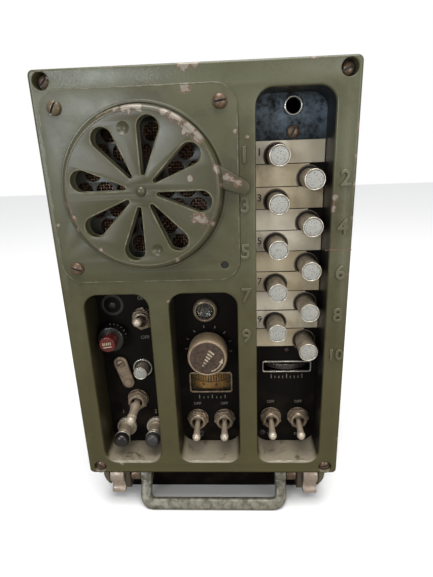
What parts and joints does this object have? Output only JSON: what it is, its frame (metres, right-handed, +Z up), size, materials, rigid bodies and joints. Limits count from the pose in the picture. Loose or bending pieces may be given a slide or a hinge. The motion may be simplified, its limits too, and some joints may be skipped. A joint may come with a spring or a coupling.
{
  "type": "push-button radio receiver",
  "caption": "Vehicular radio receiver with a cast front guard, rotating speaker shutter, channel push buttons, switches, tuning wheel, dial and bail handle.",
  "frame": {"origin": "middle of the dust cover's underside, on the surface the set stands on", "axes": "+Z up, -Y towards the user (the control front), +X to the user's right"},
  "size_m": [0.168, 0.3429, 0.2841],
  "materials": {
    "olive_paint": "satin olive paint over cast aluminium, chipped at edges",
    "olive_sheet": "satin olive paint over sheet steel",
    "olive_handle": "worn olive paint over steel",
    "black_panel": "black fine-wrinkle paint",
    "worn_steel": "aged screws and cams",
    "worn_metal": "dull plated brass and steel",
    "button_metal": "dull plated, textured face",
    "dark_metal": "dark lacquered metal",
    "bare_sheet": "plated sheet",
    "bright_aluminium": "drawn can",
    "black_shell": "black lacquered steel shell",
    "bronze_screen": "darkened bronze",
    "cone_paper": "pressed paper",
    "ivory_card": "yellowed celluloid",
    "clear_glass": "clear",
    "grey_knob": "worn grey lacquer",
    "bakelite": "black bakelite",
    "dial_scale": "amber celluloid scale",
    "copper_winding": "varnished copper"
  },
  "bodies": {
    "receiver": {"guard_frame": "olive_paint", "front_screws": "worn_steel", "front_panel": "black_panel", "speaker_plate": "olive_paint", "speaker_grille": "bronze_screen", "speaker_basket": "dark_metal", "speaker_cone": "cone_paper", "shutter_rivet": "worn_metal", "channel_cards": "ivory_card", "button_bushes": "dark_metal", "mechanism_frame": "bare_sheet", "panel_screws": "dark_metal", "lamp_bezel": "worn_metal", "lamp_jewel": "clear_glass", "potentiometers": "dark_metal", "dial_bezel": "worn_metal", "dial_glass": "clear_glass", "tuning_bezel": "worn_metal", "tuning_gang": "bare_sheet", "switch_bodies": "dark_metal", "switch_nuts": "worn_metal", "binding_posts": "worn_metal", "handle_brackets": "olive_paint", "dust_cover": "olive_sheet", "cover_screws": "worn_steel", "chassis": "bare_sheet", "valves": "black_shell", "if_cans": "bright_aluminium", "output_transformer": "dark_metal", "dynamotor_frame": "dark_metal", "rear_plug": "bakelite"},
    "shutter": {"shutter": "olive_paint"},
    "button_1": {"button_1": "button_metal"},
    "button_2": {"button_2": "button_metal"},
    "button_3": {"button_3": "button_metal"},
    "button_4": {"button_4": "button_metal"},
    "button_5": {"button_5": "button_metal"},
    "button_6": {"button_6": "button_metal"},
    "button_7": {"button_7": "button_metal"},
    "button_8": {"button_8": "button_metal"},
    "button_9": {"button_9": "button_metal"},
    "button_10": {"button_10": "button_metal"},
    "volume_knob": {"volume_knob": "grey_knob"},
    "sensitivity_knob": {"sensitivity_knob": "bakelite"},
    "tuning_wheel": {"tuning_wheel": "dark_metal"},
    "dial_drum": {"dial_drum": "dial_scale"},
    "gang_rotor": {"gang_rotor": "bare_sheet"},
    "speaker_lever": {"speaker_lever": "worn_metal"},
    "squelch_lever": {"squelch_lever": "worn_metal"},
    "tune_lever": {"tune_lever": "worn_metal"},
    "device_lever": {"device_lever": "worn_metal"},
    "intercom_lever": {"intercom_lever": "worn_metal"},
    "power_lever": {"power_lever": "worn_metal"},
    "call_button": {"call_button": "worn_metal"},
    "antenna_cap": {"antenna_cap": "bakelite"},
    "ground_cap": {"ground_cap": "bakelite"},
    "pivot_arm": {"pivot_arm": "worn_metal"},
    "handle": {"bail_handle": "olive_handle", "latch_shafts": "worn_steel"},
    "dynamotor_armature": {"dynamotor_armature": "copper_winding"}
  },
  "joints": [
    {"name": "shutter_turn", "type": "hinge", "parent": "receiver", "child": "shutter", "pos_m": [-0.0292, -0.183, 0.222], "axis": [0, -1, 0], "range_deg": [0, 22.5]},
    {"name": "button_1_press", "type": "slide", "parent": "receiver", "child": "button_1", "axis": [0, 1, 0], "range_m": [0, 0.007], "stiffness_N_per_m": 300, "springref_m": -0.004},
    {"name": "button_2_press", "type": "slide", "parent": "receiver", "child": "button_2", "axis": [0, 1, 0], "range_m": [0, 0.007], "stiffness_N_per_m": 300, "springref_m": -0.004},
    {"name": "button_3_press", "type": "slide", "parent": "receiver", "child": "button_3", "axis": [0, 1, 0], "range_m": [0, 0.007], "stiffness_N_per_m": 300, "springref_m": -0.004},
    {"name": "button_4_press", "type": "slide", "parent": "receiver", "child": "button_4", "axis": [0, 1, 0], "range_m": [0, 0.007], "stiffness_N_per_m": 300, "springref_m": -0.004},
    {"name": "button_5_press", "type": "slide", "parent": "receiver", "child": "button_5", "axis": [0, 1, 0], "range_m": [0, 0.007], "stiffness_N_per_m": 300, "springref_m": -0.004},
    {"name": "button_6_press", "type": "slide", "parent": "receiver", "child": "button_6", "axis": [0, 1, 0], "range_m": [0, 0.007], "stiffness_N_per_m": 300, "springref_m": -0.004},
    {"name": "button_7_press", "type": "slide", "parent": "receiver", "child": "button_7", "axis": [0, 1, 0], "range_m": [0, 0.007], "stiffness_N_per_m": 300, "springref_m": -0.004},
    {"name": "button_8_press", "type": "slide", "parent": "receiver", "child": "button_8", "axis": [0, 1, 0], "range_m": [0, 0.007], "stiffness_N_per_m": 300, "springref_m": -0.004},
    {"name": "button_9_press", "type": "slide", "parent": "receiver", "child": "button_9", "axis": [0, 1, 0], "range_m": [0, 0.007], "stiffness_N_per_m": 300, "springref_m": -0.004},
    {"name": "button_10_press", "type": "slide", "parent": "receiver", "child": "button_10", "axis": [0, 1, 0], "range_m": [0, 0.007], "stiffness_N_per_m": 300, "springref_m": -0.004},
    {"name": "volume_turn", "type": "hinge", "parent": "receiver", "child": "volume_knob", "pos_m": [0.0002, -0.162, 0.1166], "axis": [0, 1, 0], "range_deg": [-150, 150]},
    {"name": "sensitivity_turn", "type": "hinge", "parent": "receiver", "child": "sensitivity_knob", "pos_m": [-0.0627, -0.158, 0.1275], "axis": [0, 1, 0], "range_deg": [-140, 140]},
    {"name": "tuning_wheel_turn", "type": "hinge", "parent": "receiver", "child": "tuning_wheel", "pos_m": [0.0524, -0.1328, 0.102], "axis": [0, 0, 1], "range_deg": [-360, 360]},
    {"name": "dial_drum_turn", "type": "hinge", "parent": "receiver", "child": "dial_drum", "pos_m": [0.0007, -0.1318, 0.0899], "axis": [0, 0, 1], "range_deg": [-135, 135]},
    {"name": "gang_rotor_turn", "type": "hinge", "parent": "receiver", "child": "gang_rotor", "pos_m": [0.037, -0.052, 0.124], "axis": [1, 0, 0], "range_deg": [-90, 90]},
    {"name": "speaker_switch", "type": "hinge", "parent": "receiver", "child": "speaker_lever", "pos_m": [-0.0423, -0.153, 0.1385], "axis": [1, 0, 0], "range_deg": [0, 26]},
    {"name": "squelch_switch", "type": "hinge", "parent": "receiver", "child": "squelch_lever", "pos_m": [-0.0513, -0.153, 0.0775], "axis": [-0.9703, 0, 0.2419], "range_deg": [0, 26]},
    {"name": "tune_switch", "type": "hinge", "parent": "receiver", "child": "tune_lever", "pos_m": [-0.0095, -0.153, 0.061], "axis": [-1, 0, 0], "range_deg": [0, 26]},
    {"name": "device_switch", "type": "hinge", "parent": "receiver", "child": "device_lever", "pos_m": [0.0095, -0.153, 0.061], "axis": [-1, 0, 0], "range_deg": [0, 26]},
    {"name": "intercom_switch", "type": "hinge", "parent": "receiver", "child": "intercom_lever", "pos_m": [0.042, -0.153, 0.062], "axis": [-1, 0, 0], "range_deg": [0, 26]},
    {"name": "power_switch", "type": "hinge", "parent": "receiver", "child": "power_lever", "pos_m": [0.061, -0.153, 0.062], "axis": [-1, 0, 0], "range_deg": [0, 26]},
    {"name": "call_button_press", "type": "slide", "parent": "receiver", "child": "call_button", "axis": [0, 1, 0], "range_m": [0, 0.003], "stiffness_N_per_m": 400, "springref_m": -0.003},
    {"name": "antenna_cap_press", "type": "slide", "parent": "receiver", "child": "antenna_cap", "axis": [0, 1, 0], "range_m": [0, 0.002], "stiffness_N_per_m": 500, "springref_m": -0.003},
    {"name": "ground_cap_press", "type": "slide", "parent": "receiver", "child": "ground_cap", "axis": [0, 1, 0], "range_m": [0, 0.002], "stiffness_N_per_m": 500, "springref_m": -0.003},
    {"name": "pivot_arm_swing", "type": "hinge", "parent": "receiver", "child": "pivot_arm", "pos_m": [-0.0605, -0.1537, 0.1065], "axis": [0, 1, 0], "range_deg": [0, 38]},
    {"name": "handle_swing", "type": "hinge", "parent": "receiver", "child": "handle", "pos_m": [0, -0.161, 0.021], "axis": [-1, 0, 0], "range_deg": [0, 70]},
    {"name": "dynamotor_spin", "type": "hinge", "parent": "receiver", "child": "dynamotor_armature", "pos_m": [0.018, 0.056, 0.052], "axis": [0, 1, 0], "continuous": true}
  ],
  "couplings": [
    {"joint": "dial_drum_turn", "follows": "tuning_wheel_turn", "ratio": 0.375},
    {"joint": "gang_rotor_turn", "follows": "tuning_wheel_turn", "ratio": 0.25}
  ]
}
